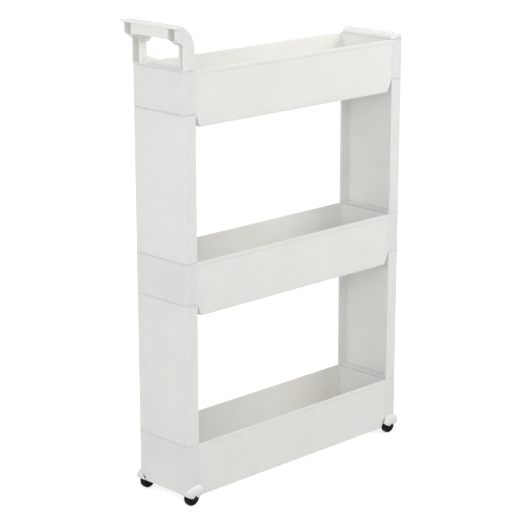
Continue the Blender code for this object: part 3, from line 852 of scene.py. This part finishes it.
def caster_housing(where, hand):
    """A fork under a flared hood: two cheeks, a roof and a face, open below and towards the basin."""
    corner = where + "_" + hand
    node = "caster_housing_" + corner
    name = node + "_moulding"
    end = ENDS[where]
    side = SIDES[hand]
    top = RIMS["bottom"] - BLOCK_HEIGHT - GAP
    axle_low, axle_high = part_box("axle_" + corner)
    centre = (axle_low + axle_high) / 2
    axle_depth = abs(centre.y - from_end(end, 0.0))
    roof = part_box("wheel_" + corner)[1].z + ROOF_CLEARANCE
    body = housing_form(name, side, end, top)

    xs = sorted((side * (FOOT_INNER + WALL), side * (HALF_WIDTH - TONGUE_INSET)))
    ys = sorted((from_end(end, TONGUE_INSET), from_end(end, END_DEPTH - TONGUE_INSET)))
    join(body, block(name + "_plug", xs, ys, (top - WALL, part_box(node)[1].z)))
    inner_xs = (xs[0] + TONGUE_WALL, xs[1] - TONGUE_WALL)
    inner_ys = (ys[0] + TONGUE_WALL, ys[1] - TONGUE_WALL)

    low = FOOT_LOW - PAST
    front = FOOT_WALL - FOOT_REACH
    behind = CHAMFER_END + PAST
    well = rounded([
        (front, low, 0.0), (front, WELL_SHOULDER, WELL_CORNER), (WALL, roof, WELL_CORNER),
        (behind, roof, 0.0), (behind, low, 0.0),
    ])
    cheeks = sorted((side * (FOOT_INNER + WALL), side * HALF_WIDTH))
    flare_x = HALF_WIDTH + FOOT_FLARE * (1.0 - FOOT_TUCK_SIDE) - FOOT_WALL
    flare = rounded([
        (HALF_WIDTH - FOOT_WALL, front, 0.0), (flare_x, front, HOOD_CORNER - FOOT_WALL),
        (flare_x, behind, 0.0), (HALF_WIDTH - FOOT_WALL, behind, 0.0),
    ])
    flare_plan = [(side * x, from_end(end, depth)) for x, depth in flare]
    mouth_xs = sorted((side * (FOOT_INNER - PAST), side * (FOOT_INNER + WALL)))
    mouth_ys = sorted((from_end(end, front), from_end(end, 0.0)))
    wide = sorted((side * (FOOT_INNER - PAST), side * (HALF_WIDTH + FOOT_FLARE + PAST)))
    cut(
        body,
        block(name + "_plug_hollow", inner_xs, inner_ys, (top, top + 3 * PAST)),
        prism(name + "_well", [(from_end(end, depth), z) for depth, z in well], *cheeks, "X"),
        prism(name + "_flare", flare_plan, low, WELL_SHOULDER, "Z"),
        block(name + "_mouth", mouth_xs, mouth_ys, (low, FOOT_CORNER_LOW)),
        prism(name + "_keyhole", keyhole(centre.y, centre.z), *wide, "X"),
        lip_cutter(name + "_lip", wide, end, axle_depth),
        above_hood(name + "_under_face", side, end, "end"),
        above_hood(name + "_under_side", side, end, "side"),
    )
    return finish(body, node, "cart", WARM_WHITE, HOUSING_EDGE, 2)


def turned(name, profile, centre, steps):
    """A closed profile of (radius, distance along the axle) turned about an axle that runs along X."""
    bm = bmesh.new()
    rings = []
    for radius, along in profile:
        if radius < TINY:
            rings.append([bm.verts.new((centre.x + along, centre.y, centre.z))])
            continue
        angles = [2 * math.pi * step / steps for step in range(steps)]
        rings.append([
            bm.verts.new((centre.x + along, centre.y + radius * math.cos(a), centre.z + radius * math.sin(a)))
            for a in angles
        ])
    for i in range(len(rings)):
        lower, upper = rings[i - 1], rings[i]
        if len(lower) == 1 and len(upper) == 1:
            continue
        for j in range(steps):
            around = ((lower, j), (lower, j + 1), (upper, j + 1), (upper, j))
            corners = [ring[k % len(ring)] for ring, k in around]
            bm.faces.new(list(dict.fromkeys(corners)))
    return add(name, bm)


def wheel(where, hand):
    """A tyre with rounded shoulders and a shallow tread groove, on a longer hub with ribs in its dish."""
    corner = where + "_" + hand
    node = "wheel_" + corner
    low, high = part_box(node)
    centre = (low + high) / 2
    radius = (high.z - low.z) / 2
    hub = (high.x - low.x) / 2
    half = WHEEL_HALF
    dish = half - WHEEL_DISH
    shoulder = []
    for k in range(7):
        a = math.pi / 2 * k / 6
        across = radius - WHEEL_SHOULDER + WHEEL_SHOULDER * math.sin(a)
        shoulder.append((across, half - WHEEL_SHOULDER + WHEEL_SHOULDER * math.cos(a)))
    one_side = [
        (BORE_RADIUS, hub), (HUB_RADIUS - HUB_EASE, hub), (HUB_RADIUS, hub - HUB_EASE), (HUB_RADIUS, dish),
        (radius - DISH_START, dish), (radius - TREAD_START, half),
    ] + shoulder + [(radius, GROOVE_HALF), (radius - GROOVE, GROOVE_FLOOR_HALF)]
    profile = one_side + [(r, -along) for r, along in reversed(one_side)]
    body = turned(node + "_moulding", profile, centre, 48)
    rib_xs = (-half + RIB_SETBACK, half - RIB_SETBACK)
    rib_zs = (HUB_RADIUS - RIB_LAP, radius - RIB_END)
    for k in range(RIBS):
        angle = 2 * math.pi * k / RIBS
        rib = block(node + "_rib", rib_xs, (-RIB_HALF, RIB_HALF), rib_zs)
        rib.data.transform(Matrix.Translation(centre) @ Matrix.Rotation(angle, 4, "X"))
        join(body, rib)
    return finish(body, node, node, BLACK, WHEEL_EDGE, 1)


def axle(where, hand):
    """A pin with domed ends."""
    node = "axle_" + where + "_" + hand
    low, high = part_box(node)
    centre = (low + high) / 2
    radius = (high.z - low.z) / 2
    half = (high.x - low.x) / 2
    curve = []
    for k in range(7):
        a = math.pi / 2 * k / 6
        curve.append((radius * math.sin(a), half - AXLE_DOME + AXLE_DOME * math.cos(a)))
    profile = curve + [(r, -along) for r, along in reversed(curve)]
    body = turned(node + "_pin", profile, centre, 32)
    return finish(body, node, "cart", BLACK, AXLE_EDGE, 1)


# Stage, light and camera

def studio():
    """A pale floor, an even sky and four softboxes."""
    bm = bmesh.new()
    bmesh.ops.create_grid(bm, x_segments=1, y_segments=1, size=FLOOR_SIZE)
    floor = add("floor", bm)
    paper = plastic("pale_floor", (0.80, 0.80, 0.80), 0.80, grain=0.1, variation=0.005, specular=0.1)
    shader = paper.node_tree.nodes["Principled BSDF"]
    shader.inputs["Emission Color"].default_value = (1.0, 1.0, 1.0, 1.0)
    shader.inputs["Emission Strength"].default_value = FLOOR_GLOW
    floor.data.materials.append(paper)
    floor.visible_diffuse = False

    world = bpy.data.worlds.new("studio")
    bpy.context.scene.world = world
    world.use_nodes = True
    sky = world.node_tree.nodes["Background"]
    sky.inputs["Color"].default_value = (1.0, 1.0, 1.0, 1.0)
    sky.inputs["Strength"].default_value = SKY_STRENGTH

    centre = (cad_box[0] + cad_box[1]) / 2
    for name, where, size, power in SOFTBOXES:
        light = bpy.data.lights.new(name, "AREA")
        light.shape = "SQUARE"
        light.size = size
        light.energy = power
        lamp = bpy.data.objects.new(name, light)
        bpy.context.scene.collection.objects.link(lamp)
        lamp.location = where
        lamp.rotation_euler = (centre - Vector(where)).to_track_quat("-Z", "Y").to_euler()


def camera():
    """A long lens a little above the cart, looking at its front right corner."""
    azimuth = math.radians(AZIMUTH)
    elevation = math.radians(ELEVATION)
    back = Vector((
        math.sin(azimuth) * math.cos(elevation),
        -math.cos(azimuth) * math.cos(elevation),
        math.sin(elevation),
    ))
    centre = (cad_box[0] + cad_box[1]) / 2
    aim = centre + Vector(AIM)
    data = bpy.data.cameras.new("camera")
    data.sensor_width = SENSOR
    data.lens = LENS
    data.clip_start = 0.1
    data.clip_end = 50.0
    cam = bpy.data.objects.new("camera", data)
    bpy.context.scene.collection.objects.link(cam)
    cam.location = aim + back * DISTANCE
    cam.rotation_euler = (-back).to_track_quat("-Z", "Y").to_euler()
    bpy.context.scene.camera = cam


def build():
    """Every moulding, then the studio and the camera."""
    for level in LEVELS:
        tray(level)
    for where in ENDS:
        for half in ("lower", "upper"):
            panel(where, half)
        for hand in SIDES:
            caster_housing(where, hand)
            wheel(where, hand)
            axle(where, hand)
    handle()
    rear_cap()
    studio()
    camera()
    bpy.context.scene.view_settings.view_transform = "Standard"


build()
bpy.context.view_layer.update()
